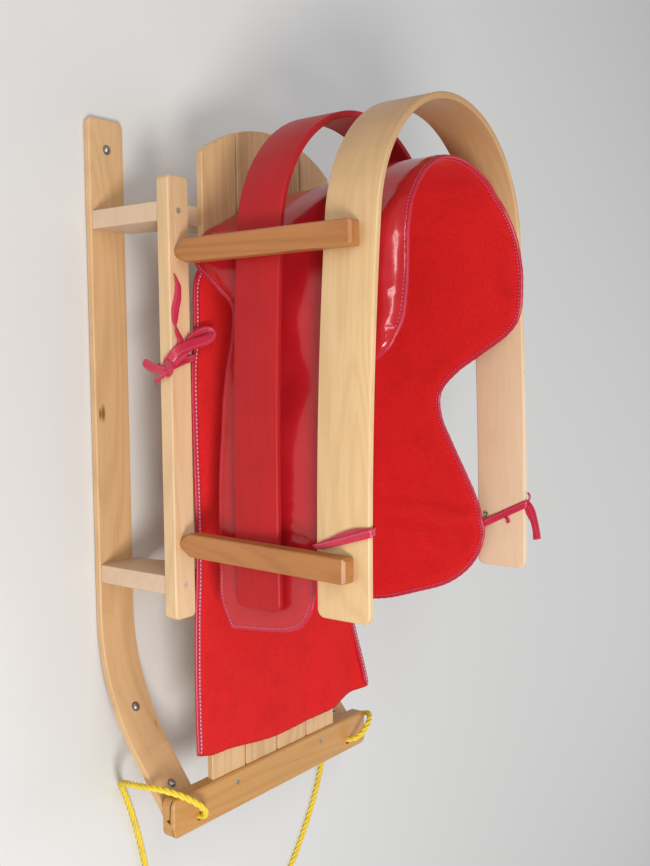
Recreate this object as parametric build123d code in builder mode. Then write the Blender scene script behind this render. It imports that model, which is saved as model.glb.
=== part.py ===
"""A child's wooden pull sled: bentwood runners, a slatted deck, two bentwood hoops on four posts,
a padded seat and a tow rope.

Millimetres. +X points to the front, +Y to the left, +Z up. Everything is drawn from the point on the
floor midway between the bolsters, in the middle of the width. On saving it moves back, so that the
origin ends on the floor under the middle of the sled's length. Pieces on the right are at -Y.
"""

import os
from math import cos, pi, radians, sin, tan

from build123d import *

# Runners, with a steel strip under each
runner_outer = 189.0  # half width over both runners
runner_width = 54.0
runner_thick = 9.5
runner_rear = -337.5
bend_to_bar = 200.5  # from the start of the bend to the front bar's rear edge
bend_radius = 260.0  # of the underside
bend_angle = 39.7
runner_corner = 7.0
runner_edge = 1.4
strip_thick = 1.6
strip_width = 19.0
strip_rear = -322.0
strip_slope = 58.0  # along the runner's straight tip

# Bolsters: arched cross boards that stand on the runners
bolster_spacing = 430.0
bolster_thick = 23.0
bolster_height = 113.0
bolster_inset = 2.0  # from the runners' outer edges
leg_width = 63.0
arch_height = 62.0
arch_radius = 38.0
bolster_edge = 1.0

# Rails along the bolsters' ends, in line with the runners' outer edges
rail_half_length = 254.0
rail_width = 32.0
rail_thick = 19.0
rail_corner = 6.0
rail_edge = 1.5

# Deck slats
slat_count = 4
slat_width = 59.5
slat_gap = 2.5
slat_thick = 8.0
slat_edge = 1.0
deck_rear = -331.5
deck_rear_radius = 205.0

# Front bar: it takes the slats in a rebate and carries the rope
bar_rear = 468.0
bar_width = 47.5
bar_overhang = 5.0  # past the runners' outer edges
bar_lip = 4.5  # above the slats
bar_sole = 7.5  # below the slats
bar_corner = 9.0
bar_edge = 2.0
rebate_depth = 15.5
rebate_gap = 0.5

# Posts
post_x = 26.5
post_y = 18.8
post_top = 388.0
post_rear = -168.5
post_rear_lean = -0.6  # degrees outwards
post_front = 165.5
post_front_lean = 3.1
post_splay = 0.5  # degrees apart, fore and aft
post_edge = 1.2
post_top_edge = 3.0
tenon_radius = 8.0
tenon_depth = 14.0
shoulder_height = 22.0
shoulder_radius = 17.5

# Bentwood hoops, each a rear bend and two slightly bowed arms, set from the middle of the rails
hoop_thick = 7.5
hoop_edge = 1.4
hoop_corner = 9.0
upper_low = 338.0
upper_high = 405.0
upper_centre = -178.5
upper_bend_in = 16.0  # the bend's outside, in from the rails' middle
upper_flare = 6.0
upper_front = 223.5
upper_arm_out = 2.5  # the front ends' outside, out from the rails' middle
lower_low = 218.0
lower_high = 281.0
lower_centre = -174.5
lower_bend_in = 13.0
lower_flare = 4.0
lower_front = 229.5
lower_arm_in = 4.8

# Seat pad between the rails, its front edge bowed
soft_gap = 0.3
pad_thick = 7.0
pad_front = 425.0
pad_bow = 19.0
pad_front_out = 1.0  # out from the rails' inner edges
pad_rear = -158.0
pad_rear_in = 13.0
pad_corner = 5.0

# Seat wall: a band round the back inside the hoops, in side view a high back, a dip on either side,
# a low flap at the front on the right and a high wing on the left
wall_thick = 6.0
wall_centre = -142.5
wall_flare = 10.0
wall_rear_gap = 21.5  # to the upper hoop
wall_side_gap = 3.2  # to the lower hoop's front ends
wall_front = 305.0
wall_lean = 5.5  # degrees, the rear bend's top backwards
wall_spare = 40.0  # of the band above and below, cut off once it leans
wall_rim = 392.0  # at the rear
back_high = 424.0
back_rear = -204.0
back_front = -76.0
dip = -8.0
dip_right = 302.0
dip_left = 286.0
flap_front = 258.0
flap_high = 321.0
flap_low = 197.0
wing_rise = 60.0
wing_rise_high = 306.0
wing_crest = 180.0
wing_high = 366.0
wing_shoulder = 246.0
wing_shoulder_high = 338.0
wing_front = 292.0
hem_low = 180.0
hem_front = 205.0
hem_rear = 60.0
hem_arch = -92.0
hem_arch_high = 211.0
wall_heel = 8.0  # behind the pad
wall_heel_high = 146.0
rim_round = 40.0
dip_round = 50.0
crest_round = 30.0
hem_round = 60.0
corner_round = 10.0
hem_corner = 4.0

# Tow rope, over the bar's corners from two holes and round in front on the floor
rope_diameter = 8.0
rope_sides = 8
rope_hole_y = 151.0
rope_hole_back = 33.5  # from the bar's rear edge
rope_hole_gap = 0.8
knot_radius = 8.0
knot_length = 13.0
knot_edge = 3.0
knot_forward = 5.6

past = 10.0  # how far a blank or a cut runs past the finished piece

# Worked out from the above
runner_high = strip_thick + runner_thick
runner_mid = runner_outer - runner_width / 2
bend_start = bar_rear - bend_to_bar
bolster_half = runner_outer - bolster_inset
deck_low = runner_high + bolster_height
deck_high = deck_low + slat_thick
rail_high = deck_low + rail_thick
rail_mid = runner_outer - rail_width / 2
rail_inner = runner_outer - rail_width
bar_half = runner_outer + bar_overhang
bar_low = deck_low - bar_sole
bar_high = deck_high + bar_lip
hole_x = bar_rear + rope_hole_back
deck_front = bar_rear + rebate_depth
deck_half = (slat_count * slat_width + (slat_count - 1) * slat_gap) / 2
upper_radius = rail_mid - upper_bend_in
upper_half = rail_mid + upper_arm_out
lower_radius = rail_mid - lower_bend_in
lower_half = rail_mid - lower_arm_in
pad_low = deck_high + soft_gap
pad_front_half = rail_inner + pad_front_out
pad_rear_half = rail_inner - pad_rear_in
wall_radius = upper_radius - hoop_thick - wall_rear_gap
wall_half = lower_half - hoop_thick - wall_side_gap
wall_rear = wall_centre - wall_radius - past
wall_foot = pad_rear - wall_heel
sled_middle = (runner_rear + bar_rear + bar_width) / 2

os.makedirs("parts", exist_ok=True)


def save(piece, name):
    """Moves a finished piece to the part's origin, labels it and writes its STEP file."""
    piece = Pos(-sled_middle, 0, 0) * piece
    piece.label = name
    export_step(piece, f"parts/{name}.step")


def save_pair(piece, name):
    """Writes a right-hand piece, and its mirror image on the left."""
    save(piece, name + "_right")
    save(mirror(piece, about=Plane.XZ), name + "_left")


def bent_board(low, thick, rear, slope_length, width):
    """A flat board along the right runner's middle: straight, then bent up at the front."""
    turn = radians(bend_angle)
    radius = bend_radius + strip_thick - low
    rise = Vector(-sin(turn), cos(turn)) * thick
    with BuildPart() as board:
        with BuildSketch(Plane.XZ.offset(runner_mid - width / 2)):
            with BuildLine():
                sole = Line((rear, low), (bend_start, low))
                curve = JernArc(sole @ 1, sole % 1, radius, bend_angle)
                slope = Line(curve @ 1, curve @ 1 + (curve % 1) * slope_length)
                tip = Line(slope @ 1, slope @ 1 + rise)
                back = Line(tip @ 1, curve @ 1 + rise)
                inner = JernArc(back @ 1, back % 1, radius - thick, -bend_angle)
                top = Line(inner @ 1, (rear, low + thick))
                Line(top @ 1, sole @ 0)
            make_face()
        extrude(amount=width)
    return board.part


def u_band(low, high, centre, radius, flare, front, half, thick):
    """An upright band bent into a U that opens to the front, with slightly bowed arms."""
    with BuildPart() as band:
        with BuildSketch(Plane.XY.offset(low)):
            with BuildLine():
                bend = CenterArc((centre, 0), radius, 90 + flare, 180 - 2 * flare)
                TangentArc(bend @ 0, (front, half), tangent=(bend % 0) * -1)
                TangentArc(bend @ 1, (front, -half), tangent=bend % 1)
                offset(amount=-thick, side=Side.LEFT, closed=True)
            make_face()
        extrude(amount=high - low)
    return band.part


# Runners, their tips cut level under the front bar, and their strips
with BuildPart() as runner:
    add(bent_board(strip_thick, runner_thick, runner_rear, bar_low, runner_width))
    split(bisect_by=Plane.XY.offset(bar_low), keep=Keep.BOTTOM)
    fillet(runner.edges().filter_by(Axis.Z).group_by(Axis.X)[0], runner_corner)
    crosswise = runner.edges().filter_by(Axis.Y)
    level_tip = runner.edges().group_by(Axis.Z)[-1]
    chamfer(runner.edges() - crosswise - level_tip - runner.edges().filter_by(Axis.Z), runner_edge)
save_pair(runner.part, "runner")

with BuildPart() as strip:
    add(bent_board(0, strip_thick, strip_rear, strip_slope, strip_width))
save_pair(strip.part, "runner_strip")

# Bolsters
for name, side in (("rear", -1), ("front", 1)):
    with BuildPart() as bolster:
        with BuildSketch(Plane.YZ.offset(side * bolster_spacing / 2 - bolster_thick / 2)):
            with Locations((0, runner_high)):
                Rectangle(2 * bolster_half, bolster_height, align=(Align.CENTER, Align.MIN))
            with BuildSketch(mode=Mode.SUBTRACT):
                with Locations((0, runner_high)):
                    Rectangle(2 * (bolster_half - leg_width), arch_height, align=(Align.CENTER, Align.MIN))
                fillet(vertices().group_by(Axis.Y)[-1], arch_radius)
        extrude(amount=bolster_thick)
        chamfer(bolster.edges().filter_by(Axis.Z), bolster_edge)
    save(bolster.part, f"bolster_{name}")

# Hoops
hoops = {}
for name, low, high, centre, radius, flare, front, half in (
    ("upper", upper_low, upper_high, upper_centre, upper_radius, upper_flare, upper_front, upper_half),
    ("lower", lower_low, lower_high, lower_centre, lower_radius, lower_flare, lower_front, lower_half),
):
    with BuildPart() as hoop:
        add(u_band(low, high, centre, radius, flare, front + past, half, hoop_thick))
        split(bisect_by=Plane.YZ.offset(front), keep=Keep.BOTTOM)
        fillet(hoop.edges().filter_by(Axis.Y).group_by(Axis.X)[-1], hoop_corner)
        upright = hoop.edges().filter_by(Axis.Z).sort_by(Axis.X)
        seams = upright[:-4]
        chamfer(hoop.edges() - hoop.edges().filter_by(Axis.Y) - seams, hoop_edge)
    hoops[name] = hoop.part
    save(hoop.part, f"hoop_{name}")

# Posts: a square-cut blank with a turned shoulder and tenon, leaned into place and let into the hoops
posts = []
for name, at, lean, splay in (
    ("rear", post_rear, post_rear_lean, -post_splay),
    ("front", post_front, post_front_lean, post_splay),
):
    length = (post_top - rail_high) / cos(radians(lean))
    with BuildPart() as blank:
        with BuildSketch(Plane.XY.offset(-tenon_depth)):
            Rectangle(post_x, post_y)
        extrude(amount=tenon_depth + length)
        chamfer(blank.faces().sort_by(Axis.Z)[-1].edges(), post_top_edge)
        chamfer(blank.edges().filter_by(Axis.Z), post_edge)
        with BuildSketch(Plane.XZ):
            with BuildLine():
                foot = Polyline((0, -tenon_depth), (tenon_radius, -tenon_depth), (tenon_radius, 0))
                neck = Line(foot @ 1, (shoulder_radius, shoulder_height))
                Polyline(neck @ 1, (shoulder_radius, length + past), (0, length + past), foot @ 0)
            make_face()
        revolve(axis=Axis.Z, mode=Mode.INTERSECT)
    upward = (tan(radians(splay)), -tan(radians(lean)), 1)
    seat = Plane((at, -rail_mid, rail_high), x_dir=(1, 0, 0), z_dir=upward)
    leaning = seat.location * blank.part
    with BuildPart() as post:
        add(leaning)
        add(hoops["upper"], mode=Mode.SUBTRACT)
        add(hoops["lower"], mode=Mode.SUBTRACT)
    posts.append(post.part)
    save_pair(post.part, f"post_{name}")

# Rails, bored for the posts' tenons
with BuildPart() as rail:
    with BuildSketch(Plane.XY.offset(deck_low)):
        with Locations((0, -rail_mid)):
            Rectangle(2 * rail_half_length, rail_width)
        fillet(vertices(), rail_corner)
    extrude(amount=rail_thick)
    chamfer(rail.edges().group_by(Axis.Z)[-1] + rail.edges().group_by(Axis.Z)[0], rail_edge)
    add(posts, mode=Mode.SUBTRACT)
save_pair(rail.part, "side_rail")

# Front bar
with BuildPart() as bar:
    with BuildSketch(Plane.XY.offset(bar_low)):
        with Locations((bar_rear, 0)):
            Rectangle(bar_width, 2 * bar_half, align=(Align.MIN, Align.CENTER))
        fillet(vertices(), bar_corner)
    extrude(amount=bar_high - bar_low)
    chamfer(bar.edges().group_by(Axis.Z)[-1], bar_edge)
    chamfer(bar.edges().group_by(Axis.Z)[0].filter_by(Axis.Y).group_by(Axis.X)[-1], bar_edge)
    with BuildSketch(Plane.XY.offset(deck_low)):
        with Locations((bar_rear, 0)):
            Rectangle(2 * rebate_depth, 2 * (deck_half + rebate_gap))
    extrude(amount=slat_thick, mode=Mode.SUBTRACT)
    with Locations((hole_x, -rope_hole_y, bar_high), (hole_x, rope_hole_y, bar_high)):
        Hole(rope_diameter / 2 + rope_hole_gap)
save(bar.part, "front_bar")

# Deck slats, their rear ends sawn together to one arc
with BuildPart() as deck:
    with BuildSketch(Plane.XY.offset(deck_low)):
        with Locations((deck_rear + deck_rear_radius, 0)):
            Circle(deck_rear_radius)
            forward = deck_front - deck_rear - deck_rear_radius
            Rectangle(forward, 2 * deck_half, align=(Align.MIN, Align.CENTER))
    extrude(amount=slat_thick)
for index in range(slat_count):
    low_side = -deck_half + index * (slat_width + slat_gap)
    with BuildPart() as slat:
        with BuildSketch(Plane.XY.offset(deck_low)):
            with Locations((deck_rear, low_side)):
                Rectangle(deck_front - deck_rear, slat_width, align=(Align.MIN, Align.MIN))
        extrude(amount=slat_thick)
        add(deck.part, mode=Mode.INTERSECT)
        upper_edges = slat.edges().group_by(Axis.Z)[-1].sort_by(Axis.X)[:-1]
        chamfer(upper_edges, slat_edge)
    save(slat.part, f"slat_{index + 1}")

# Seat pad
with BuildPart() as pad:
    with BuildSketch(Plane.XY.offset(pad_low)):
        with BuildLine():
            rear = Line((pad_rear, pad_rear_half), (pad_rear, -pad_rear_half))
            right = Line(rear @ 1, (pad_front, -pad_front_half))
            front = ThreePointArc(right @ 1, (pad_front + pad_bow, 0), (pad_front, pad_front_half))
            Line(front @ 1, rear @ 0)
        make_face()
        fillet(vertices(), pad_corner)
    extrude(amount=pad_thick)
save(pad.part, "seat_pad")

# Seat wall: the band cut to its outline on either side, given as corners from the rear rim forward
# and back along the hem
wall_outlines = {
    # side: [(x, z, corner radius)]
    -1: [
        (wall_rear, wall_rim, 0),
        (back_rear, back_high, rim_round),
        (back_front, back_high, rim_round),
        (dip, dip_right, rim_round),
        (flap_front, flap_high, rim_round),
        (flap_front, flap_low, hem_corner),
        (hem_front, hem_low, hem_round),
    ],
    1: [
        (wall_rear, wall_rim, 0),
        (back_rear, back_high, rim_round),
        (back_front, back_high, dip_round),
        (dip, dip_left, dip_round),
        (wing_rise, wing_rise_high, dip_round),
        (wing_crest, wing_high, crest_round),
        (wing_shoulder, wing_shoulder_high, crest_round),
        (wing_front, hem_low, corner_round),
    ],
}
hem_and_heel = [
    (hem_rear, hem_low, hem_round),
    (hem_arch, hem_arch_high, crest_round),
    (wall_foot, wall_heel_high, corner_round),
    (wall_foot, pad_low, 0),
    (wall_rear, pad_low, 0),
]
with BuildPart() as side_views:
    for side, corners in wall_outlines.items():
        with BuildSketch(Plane.XZ):
            with BuildLine():
                rim = FilletPolyline(
                    *[(x, z) for x, z, _ in corners + hem_and_heel[:-1]],
                    radius=[radius for _, _, radius in corners[1:] + hem_and_heel[:-2]],
                )
                Polyline(rim @ 1, hem_and_heel[-1][:2], rim @ 0)
            make_face()
        extrude(amount=-side * (wall_half + past))

band = u_band(
    pad_low - wall_spare,
    back_high + wall_spare,
    wall_centre,
    wall_radius,
    wall_flare,
    wall_front,
    wall_half,
    wall_thick,
)
top = Pos(0, 0, back_high)
leaning_band = top * Rot(0, -wall_lean, 0) * top.inverse() * band
with BuildPart() as wall:
    add(leaning_band)
    add(side_views.part, mode=Mode.INTERSECT)
save(wall.part, "seat_wall")

# Tow rope: out of the right-hand hole, over the bar's rear edge, down outside the runner, round in
# front on the floor, and back the same way to the left-hand hole
rope_route = [
    (hole_x, -rope_hole_y, bar_low),
    (hole_x, -rope_hole_y, 143),
    (484, -163, 160),
    (469, -176, 149),
    (458, -193, 122),
    (460, -200, 84),
    (469, -191, 46),
    (486, -169, 14),
    (518, -147, 4),
    (582, -127, 4),
    (655, -113, 4),
    (745, -92, 4),
    (822, -20, 4),
    (819, 88, 4),
    (752, 172, 4),
    (668, 232, 4),
    (602, 262, 4),
    (566, 256, 8),
    (532, 241, 31),
    (499, 220, 80),
    (475, 206, 132),
    (470, 182, 155),
    (484, 163, 160),
    (hole_x, rope_hole_y, 143),
    (hole_x, rope_hole_y, bar_low),
]
corner_share = 0.45  # of the shorter run beside a corner
radii = []
for before, here, after in zip(rope_route, rope_route[1:], rope_route[2:]):
    run_in = Vector(here) - Vector(before)
    run_out = Vector(after) - Vector(here)
    half_turn = radians(run_in.get_angle(run_out) / 2)
    radii.append(corner_share * min(run_in.length, run_out.length) / tan(half_turn))
with BuildPart() as rope:
    with BuildLine():
        route = FilletPolyline(*rope_route, radius=radii)
    with BuildSketch(Plane(route @ 0, z_dir=route % 0)):
        RegularPolygon(rope_diameter / 2, rope_sides)
    sweep(path=route)
save(rope.part, "tow_rope")
print("rope length", round(route.length), "radii", [round(r) for r in radii])
section = rope_sides / 2 * (rope_diameter / 2) ** 2 * sin(2 * pi / rope_sides)
print("rope volume over section times length", round(rope.part.volume / section / route.length, 4))

# Knots under the bar, clear of the runners' tips
with BuildPart() as knot:
    with BuildSketch(Plane.XY.offset(bar_low)):
        with Locations((hole_x + knot_forward, -rope_hole_y)):
            RegularPolygon(knot_radius, rope_sides)
    extrude(amount=-knot_length)
    chamfer(knot.edges().group_by(Axis.Z)[0], knot_edge)
save_pair(knot.part, "rope_knot")
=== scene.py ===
"""A child's wooden pull sled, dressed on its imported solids.

The row frame is in metres. Places here are in millimetres, counted as in the solids from the point
on the floor midway between the bolsters, and at() turns them into the row frame. +X points to the
front, +Y to the left, +Z up, and the right side (-Y) is the near one in the picture.
"""

from bisect import bisect_right
from math import atan2, cos, pi, radians, sin

import bpy
from mathutils import Matrix, Vector, noise
from mathutils.bvhtree import BVHTree
from mathutils.geometry import delaunay_2d_cdt
from mathutils.kdtree import KDTree


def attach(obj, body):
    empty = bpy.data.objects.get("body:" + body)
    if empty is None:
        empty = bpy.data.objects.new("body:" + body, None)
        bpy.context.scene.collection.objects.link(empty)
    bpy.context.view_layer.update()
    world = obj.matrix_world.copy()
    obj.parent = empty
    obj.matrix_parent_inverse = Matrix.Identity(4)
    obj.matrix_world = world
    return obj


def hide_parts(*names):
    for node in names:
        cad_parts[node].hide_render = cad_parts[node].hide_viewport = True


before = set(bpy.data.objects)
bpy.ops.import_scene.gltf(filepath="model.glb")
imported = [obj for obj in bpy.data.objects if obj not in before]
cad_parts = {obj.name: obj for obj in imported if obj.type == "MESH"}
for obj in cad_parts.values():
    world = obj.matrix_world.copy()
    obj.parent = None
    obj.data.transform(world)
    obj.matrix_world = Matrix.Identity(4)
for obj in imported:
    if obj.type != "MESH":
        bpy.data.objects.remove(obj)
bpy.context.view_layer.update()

SLED_MIDDLE = 89.0  # from midway between the bolsters to the row's origin
SIDES = ("right", -1), ("left", 1)
SPLINE_STEPS = 24  # between two listed points


def at(x, y, z):
    """A place in millimetres as a point of the row frame."""
    return Vector((x - SLED_MIDDLE, y, z)) / 1000


def smooth(value, low, high):
    """0 below low, 1 above high, and an S curve between."""
    t = min(1.0, max(0.0, (value - low) / (high - low)))
    return t * t * (3 - 2 * t)


def bump(value, middle, reach):
    """A rounded hump of height 1 around middle, 0 from reach outwards."""
    return 1 - smooth(abs(value - middle), 0, reach)


def table_value(points, x):
    """The height at x of a smooth curve through a short table of (x, height)."""
    index = span_of([p[0] for p in points], x)
    last = len(points) - 1
    before, a, b, after = (points[min(max(k, 0), last)] for k in range(index - 1, index + 3))
    t = min(1.0, max(0.0, (x - a[0]) / (b[0] - a[0])))
    slope_a = (b[1] - before[1]) / (b[0] - before[0])
    slope_b = (after[1] - a[1]) / (after[0] - a[0])
    run = b[0] - a[0]
    return (
        (2 * t**3 - 3 * t**2 + 1) * a[1]
        + (t**3 - 2 * t**2 + t) * run * slope_a
        + (3 * t**2 - 2 * t**3) * b[1]
        + (t**3 - t**2) * run * slope_b
    )


def through(points, step, closed=False):
    """Evenly spaced places, about step apart, on a smooth curve through given points."""
    points = [Vector(p) for p in points]
    count = len(points)
    dense = []
    for k in range(count if closed else count - 1):
        near = range(k - 1, k + 3)
        quad = [points[n % count if closed else min(max(n, 0), count - 1)] for n in near]
        for n in range(SPLINE_STEPS):
            t = n / SPLINE_STEPS
            weights = (
                (-t + 2 * t**2 - t**3) / 2,
                (2 - 5 * t**2 + 3 * t**3) / 2,
                (t + 4 * t**2 - 3 * t**3) / 2,
                (t**3 - t**2) / 2,
            )
            dense.append(sum((q * w for q, w in zip(quad, weights)), Vector()))
    dense.append(points[0] if closed else points[-1])
    return evenly(dense, step, closed)


def evenly(dense, step, closed=False):
    """Places about step apart along a polyline."""
    lengths = lengths_along(dense)
    count = max(2, round(lengths[-1] / step))
    places = []
    k = 0
    for n in range(count if closed else count + 1):
        want = lengths[-1] * n / count
        while k < len(lengths) - 2 and lengths[k + 1] < want:
            k += 1
        share = (want - lengths[k]) / max(lengths[k + 1] - lengths[k], 1e-9)
        places.append(dense[k].lerp(dense[k + 1], share))
    return places


def lengths_along(points):
    """A line's length up to each of its points."""
    lengths = [0.0]
    for a, b in zip(points, points[1:]):
        lengths.append(lengths[-1] + (b - a).length)
    return lengths


def span_of(marks, value):
    """The index of the span between rising marks that a value falls in."""
    return min(max(bisect_right(marks, value) - 1, 0), len(marks) - 2)


def turns(count):
    """Evenly spaced angles round a circle."""
    return [2 * pi * n / count for n in range(count)]


def circle(centre, a, b, radius, count):
    """Points round a centre in the plane of two directions."""
    return [centre + (a * cos(t) + b * sin(t)) * radius for t in turns(count)]


def added(name, data):
    """A new object in the scene."""
    thing = bpy.data.objects.new(name, data)
    bpy.context.scene.collection.objects.link(thing)
    return thing


# Camera: at the photograph's place, turned as the photograph is, its right-hand side up


def set_camera():
    right = Vector((0.99751399, -0.06176233, 0.03393001))
    up = Vector((0.01055122, 0.6069671, 0.79465692))
    back = Vector((-0.06967427, -0.79232339, 0.60610984))
    data = bpy.data.cameras.new("camera")
    data.sensor_width = 36
    data.lens = 42.33
    camera = added("camera", data)
    turn = Matrix((up, -right, back)).transposed()
    camera.matrix_world = Matrix.Translation(at(-42.1, -1001.4, 982.6)) @ turn.to_4x4()
    bpy.context.scene.camera = camera


set_camera()


# Materials


def srgb(red, green, blue):
    """A colour written as 0 to 255 screen values, as the shader wants it."""
    parts = [value / 255 for value in (red, green, blue)]
    return (*[p / 12.92 if p <= 0.04045 else ((p + 0.055) / 1.055) ** 2.4 for p in parts], 1)


def toned(colour, factor, lift=0.0):
    """A darker or a paler colour."""
    return tuple(min(1.0, c * factor + lift) for c in colour[:3]) + (1,)


def new_material(name):
    material = bpy.data.materials.new(name)
    material.use_nodes = True
    return material, material.node_tree, material.node_tree.nodes["Principled BSDF"]


def feed(node, inputs):
    """Sets a node's inputs; each is a value or another node's output."""
    for key, value in inputs.items():
        if isinstance(value, bpy.types.NodeSocket):
            node.id_data.links.new(value, node.inputs[key])
        else:
            node.inputs[key].default_value = value


def put(tree, kind, inputs=None, **settings):
    """Adds a shader node."""
    node = tree.nodes.new("ShaderNode" + kind)
    for key, value in settings.items():
        setattr(node, key, value)
    feed(node, inputs or {})
    return node


def mapped(tree, scale, shift=(0, 0, 0)):
    """Object coordinates, moved and scaled by one number or by one for each axis."""
    place = put(tree, "TexCoord").outputs["Object"]
    scale = (scale,) * 3 if isinstance(scale, (int, float)) else scale
    return put(tree, "Mapping", {"Vector": place, "Location": shift, "Scale": scale}).outputs[0]


def noise_at(tree, scale, shift=(0, 0, 0), detail=3.0, rough=0.5, distort=0.0):
    inputs = {"Vector": mapped(tree, scale, shift), "Scale": 1.0, "Detail": detail}
    inputs |= {"Roughness": rough, "Distortion": distort}
    return put(tree, "TexNoise", inputs).outputs["Fac"]


def maths(operation, a, b=0.0):
    """Adds its node to the tree of its first value, as the functions below do."""
    return put(a.id_data, "Math", {0: a, 1: b}, operation=operation).outputs[0]


def times(a, b):
    return maths("MULTIPLY", a, b)


def between(value, low, high):
    """0 at low, 1 at high, clamped."""
    inputs = {"Value": value, "From Min": low, "From Max": high}
    return put(value.id_data, "MapRange", inputs, clamp=True).outputs["Result"]


def spread(value, low, high):
    """low where value is 0, high where it is 1."""
    inputs = {"Value": value, "To Min": low, "To Max": high}
    return put(value.id_data, "MapRange", inputs).outputs["Result"]


def blend(share, a, b):
    """Mixes two colours."""
    return put(share.id_data, "Mix", {0: share, 6: a, 7: b}, data_type="RGBA").outputs[2]


def stain(shade, value, low, high, amount, towards):
    """Blends up to an amount of another colour in as value goes from low to high."""
    return blend(times(between(value, low, high), amount), shade, towards)


def raise_by(shader, height, distance, strength):
    """Gives the shader a bump."""
    inputs = {"Height": height, "Distance": distance, "Strength": strength}
    feed(shader, {"Normal": put(shader.id_data, "Bump", inputs).outputs["Normal"]})


def along(axes, lengthwise, across):
    return tuple(lengthwise if name in axes else across for name in "xyz")


# the knots' colour, which also paints a dent's shade, and the crack's colour
KNOT_AND_DENT_SHADE, CRACK = srgb(134, 86, 36), srgb(52, 26, 10)


def wood(name, light, dark, grain, seed, figure, flecks=0.0, spots=(), crack=None, tones_and_light=None):
    """Varnished hardwood. grain names the axes that the grain runs along, figure is how strongly
    its rings show, and spots are (place, radii) of knots, and of dents painted dark as their shade."""
    material, tree, shader = new_material(name)
    shift = (seed * 3.1, seed * 1.7, seed * 2.3)
    waves = noise_at(tree, along(grain, 1.6, 13), shift, detail=1.5, distort=0.25)
    rings = maths("SINE", times(waves, 95.0))
    fine = noise_at(tree, along(grain, 9, 330), shift, detail=5, rough=0.7)
    blotch = noise_at(tree, along(grain, 5, 14), shift)
    pore = between(noise_at(tree, along(grain, 70, 1500), shift, detail=2), 0.62, 0.74)
    pale, deep = toned(light, 1.18), toned(dark, 0.45)
    colour = stain(light, rings, -0.2, 1.0, figure, dark)
    colour = stain(colour, fine, 0.45, 0.75, 0.35, dark)
    colour = stain(colour, blotch, 0.5, 0.8, 0.6, pale)
    # the upper hoop's tones paint shade on its rear bend and light on its left arm, over its own
    # tone
    if tones_and_light:
        colour = tones_and_light(tree, colour)
    colour = blend(times(pore, 0.18), colour, deep)
    if flecks:
        colour = stain(colour, noise_at(tree, 900, shift, detail=2), 0.52, 0.72, flecks, deep)
    edge = put(tree, "NewGeometry").outputs["Pointiness"]
    colour = stain(colour, edge, 0.53, 0.6, 0.35, pale)
    # dark spots: knots, and the painted shade of a dent
    for place, radii in spots:
        scale = [1000 / r for r in radii]
        place = mapped(tree, scale, [-value * size for value, size in zip(at(*place), scale)])
        away = put(tree, "VectorMath", {0: place}, operation="LENGTH").outputs["Value"]
        away = maths("ADD", away, times(fine, 0.7))
        colour = stain(colour, away, 1.45, 0.75, 0.9, KNOT_AND_DENT_SHADE)
    height = maths("ADD", times(fine, 0.6), times(pore, -0.4))
    if crack:
        split = crack(tree)
        colour = blend(split, colour, CRACK)
        height = maths("SUBTRACT", height, times(split, 4.0))
    roughness = spread(noise_at(tree, 28, shift, detail=4), 0.32, 0.54)
    look = {"Base Color": colour, "Roughness": roughness, "Specular IOR Level": 0.35}
    look |= {"Coat Weight": 0.12, "Coat Roughness": 0.25}
    feed(shader, look)
    raise_by(shader, height, 0.0002, 0.4)
    return material


def felt(name, colour):
    """Brushed felt: soft nap, lint and slightly uneven dye."""
    material, tree, shader = new_material(name)
    nap = noise_at(tree, 900, detail=4, rough=0.7)
    fibres = noise_at(tree, (240, 520, 340), detail=5, rough=0.75, distort=1.5)
    cloud = noise_at(tree, (26, 26, 14), detail=5, rough=0.62)
    pills = noise_at(tree, 210, detail=2)
    dark = toned(colour, 0.6)
    shade = blend(between(nap, 0.25, 0.6), dark, colour)
    shade = stain(shade, fibres, 0.5, 0.75, 0.5, toned(colour, 1.12, 0.015))
    shade = stain(shade, cloud, 0.48, 0.7, 0.35, dark)
    shade = stain(shade, pills, 0.66, 0.74, 0.4, dark)
    look = {"Base Color": shade, "Roughness": 0.95, "Specular IOR Level": 0.15}
    look |= {"Sheen Weight": 0.25, "Sheen Roughness": 0.4, "Sheen Tint": srgb(255, 120, 110)}
    feed(shader, look)
    raise_by(shader, maths("ADD", maths("ADD", nap, fibres), pills), 0.0006, 0.6)
    return material


def vinyl(name, colour, gloss):
    """Soft vinyl with shallow dents; a lower gloss value is shinier."""
    material, tree, shader = new_material(name)
    creases = noise_at(tree, (46, 46, 26), detail=1.5, rough=0.4, distort=0.3)
    cloud = noise_at(tree, 22)
    shade = stain(colour, cloud, 0.4, 0.8, 0.3, toned(colour, 1.25, 0.02))
    roughness = spread(cloud, gloss - 0.04, gloss + 0.1)
    look = {"Base Color": shade, "Roughness": roughness, "Specular IOR Level": 0.46}
    feed(shader, look)
    raise_by(shader, creases, 0.002, 0.25)
    return material


def paint(name, colour):
    """Satin paint on wood: the grain just shows, and the arrises are rubbed."""
    material, tree, shader = new_material(name)
    grain = noise_at(tree, along("xy", 8, 260), detail=4, rough=0.6)
    cloud = noise_at(tree, 14)
    dark = toned(colour, 0.72)
    shade = stain(colour, grain, 0.4, 0.75, 0.35, dark)
    shade = stain(shade, cloud, 0.5, 0.8, 0.3, dark)
    edge = between(put(tree, "NewGeometry").outputs["Pointiness"], 0.53, 0.62)
    rubbed = times(edge, between(cloud, 0.35, 0.6))
    shade = blend(times(rubbed, 0.55), shade, srgb(226, 120, 120))
    feed(shader, {"Base Color": shade, "Roughness": 0.42, "Specular IOR Level": 0.14})
    raise_by(shader, grain, 0.0003, 0.4)
    return material


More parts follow.
